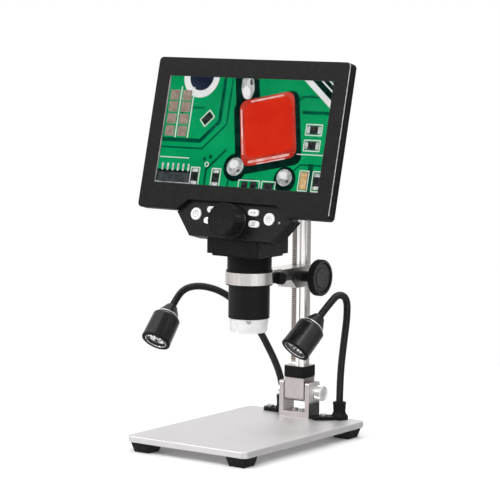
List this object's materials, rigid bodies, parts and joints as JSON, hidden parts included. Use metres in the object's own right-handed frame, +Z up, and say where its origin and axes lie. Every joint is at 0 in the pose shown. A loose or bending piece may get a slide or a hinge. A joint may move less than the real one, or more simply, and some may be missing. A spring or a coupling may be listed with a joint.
{
  "type": "lcd digital microscope",
  "caption": "Benchtop LCD digital microscope: leaning display over a barrel on a rack-and-pinion column, flat stage on rubber feet and gooseneck lamps.",
  "frame": {"origin": "point of the stage's top face where the optical axis meets it", "axes": "+Z up along the optical axis, -Y towards the person at the screen, +X to that person's right"},
  "size_m": [0.2037, 0.166, 0.3004],
  "materials": {
    "plate": "fine satin, anodised silver",
    "bracket_metal": "satin with polished sides",
    "casting": "satin silver",
    "column_metal": "fine brushed, anodised silver",
    "steel": "bright",
    "knurled_steel": "polished, knurled",
    "black_rubber": "matt",
    "black_plastic": "fine matt texture",
    "black_gloss": "semi-gloss",
    "black_metal": "satin black",
    "grey_plastic": "satin",
    "button_plastic": "satin, pale grey",
    "cap_plastic": "translucent white",
    "glass": "clear",
    "lens_glass": "clear, coated",
    "indicator": "clear blue",
    "display": "lit picture",
    "board": "green solder mask",
    "cell": "foil pouch",
    "washer_plastic": "natural",
    "reflector": "mirror"
  },
  "bodies": {
    "stand": {"stage_plate": "plate", "feet": "black_rubber", "foot_screws": "steel", "bracket": "bracket_metal", "bracket_screws": "steel", "lamp_foot_left": "black_plastic", "lamp_foot_right": "black_plastic", "lamp_foot_screws": "steel", "tilt_nut": "steel", "friction_washers": "washer_plastic"},
    "tilt_screw": {"tilt_screw": "knurled_steel"},
    "column": {"pivot_block": "bracket_metal", "collar": "black_plastic", "column": "column_metal", "rack": "steel", "column_cap": "black_plastic"},
    "carriage": {"carriage": "casting", "ring_liner": "black_plastic", "pinion_hub": "black_plastic"},
    "pinion": {"pinion": "steel", "focus_wheel": "black_plastic", "wheel_cap": "grey_plastic"},
    "clamp": {"clamp_screw": "steel", "clamp_knob": "black_plastic"},
    "head": {"front_bezel": "black_plastic", "display_glass": "glass", "lcd_panel": "display", "back_shell": "black_plastic", "housing_screws": "steel", "control_panel": "black_gloss", "button_board": "board", "indicator_lens": "indicator", "main_board": "board", "charge_socket": "steel", "battery": "cell", "lower_housing": "black_plastic", "barrel": "black_metal", "camera_board": "board", "led_board": "board", "diffuser_cap": "cap_plastic"},
    "focus": {"focus_knob": "black_plastic", "focus_shaft": "steel"},
    "lens": {"lens_carrier": "black_metal", "lens": "lens_glass"},
    "power_button": {"power_button": "button_plastic"},
    "shutter_button": {"shutter_button": "button_plastic"},
    "upper_left_button": {"upper_left_button": "button_plastic"},
    "lower_left_button": {"lower_left_button": "button_plastic"},
    "upper_right_button": {"upper_right_button": "button_plastic"},
    "lower_right_button": {"lower_right_button": "button_plastic"},
    "lamp_left": {"lamp_neck_left": "black_rubber", "lamp_boot_left": "black_rubber", "lamp_shell_left": "black_metal", "lamp_reflector_left": "reflector", "lamp_lens_left": "lens_glass"},
    "lamp_right": {"lamp_neck_right": "black_rubber", "lamp_boot_right": "black_rubber", "lamp_shell_right": "black_metal", "lamp_reflector_right": "reflector", "lamp_lens_right": "lens_glass"}
  },
  "joints": [
    {"name": "column_tilt", "type": "hinge", "parent": "stand", "child": "column", "pos_m": [0, 0.0718, 0.0207], "axis": [1, 0, 0], "range_deg": [-30, 5]},
    {"name": "tilt_screw_turn", "type": "hinge", "parent": "stand", "child": "tilt_screw", "pos_m": [0, 0.0718, 0.0207], "axis": [1, 0, 0], "continuous": true},
    {"name": "carriage_slide", "type": "slide", "parent": "column", "child": "carriage", "axis": [0, 0, 1], "range_m": [-0.035, 0.05]},
    {"name": "pinion_spin", "type": "hinge", "parent": "carriage", "child": "pinion", "pos_m": [0, 0.0644, 0.1146], "axis": [1, 0, 0], "range_deg": [-720, 720]},
    {"name": "clamp_screw_turn", "type": "hinge", "parent": "carriage", "child": "clamp", "pos_m": [0, 0.0226, 0.1173], "axis": [1, 0, 0], "continuous": true},
    {"name": "head_swivel", "type": "hinge", "parent": "carriage", "child": "head", "pos_m": [0, 0, 0.1193], "axis": [0, 0, 1], "range_deg": [-60, 60]},
    {"name": "focus_knob_spin", "type": "hinge", "parent": "head", "child": "focus", "pos_m": [0, -0.02424, 0.16413], "axis": [0, -0.9715, 0.2368], "range_deg": [-180, 180]},
    {"name": "lens_focus", "type": "slide", "parent": "head", "child": "lens", "axis": [0, 0, 1], "range_m": [-0.003, 0.003]},
    {"name": "power_button_press", "type": "slide", "parent": "head", "child": "power_button", "axis": [0, 0.9715, -0.2368], "range_m": [0, 0.0008], "stiffness_N_per_m": 400, "springref_m": -0.001},
    {"name": "shutter_button_press", "type": "slide", "parent": "head", "child": "shutter_button", "axis": [0, 0.9715, -0.2368], "range_m": [0, 0.0008], "stiffness_N_per_m": 400, "springref_m": -0.001},
    {"name": "upper_left_button_press", "type": "slide", "parent": "head", "child": "upper_left_button", "axis": [0, 0.9715, -0.2368], "range_m": [0, 0.0008], "stiffness_N_per_m": 400, "springref_m": -0.001},
    {"name": "lower_left_button_press", "type": "slide", "parent": "head", "child": "lower_left_button", "axis": [0, 0.9715, -0.2368], "range_m": [0, 0.0008], "stiffness_N_per_m": 400, "springref_m": -0.001},
    {"name": "upper_right_button_press", "type": "slide", "parent": "head", "child": "upper_right_button", "axis": [0, 0.9715, -0.2368], "range_m": [0, 0.0008], "stiffness_N_per_m": 400, "springref_m": -0.001},
    {"name": "lower_right_button_press", "type": "slide", "parent": "head", "child": "lower_right_button", "axis": [0, 0.9715, -0.2368], "range_m": [0, 0.0008], "stiffness_N_per_m": 400, "springref_m": -0.001},
    {"name": "lamp_left_swing", "type": "hinge", "parent": "stand", "child": "lamp_left", "pos_m": [-0.0215, 0.08, 0.008], "axis": [0, 0, 1], "range_deg": [-30, 35]},
    {"name": "lamp_right_swing", "type": "hinge", "parent": "stand", "child": "lamp_right", "pos_m": [0.0332, 0.08, 0.008], "axis": [0, 0, 1], "range_deg": [-4, 60]}
  ],
  "couplings": [
    {"joint": "pinion_spin", "follows": "carriage_slide", "rad_per_m": -250},
    {"joint": "focus_knob_spin", "follows": "lens_focus", "rad_per_m": 1047.2}
  ]
}
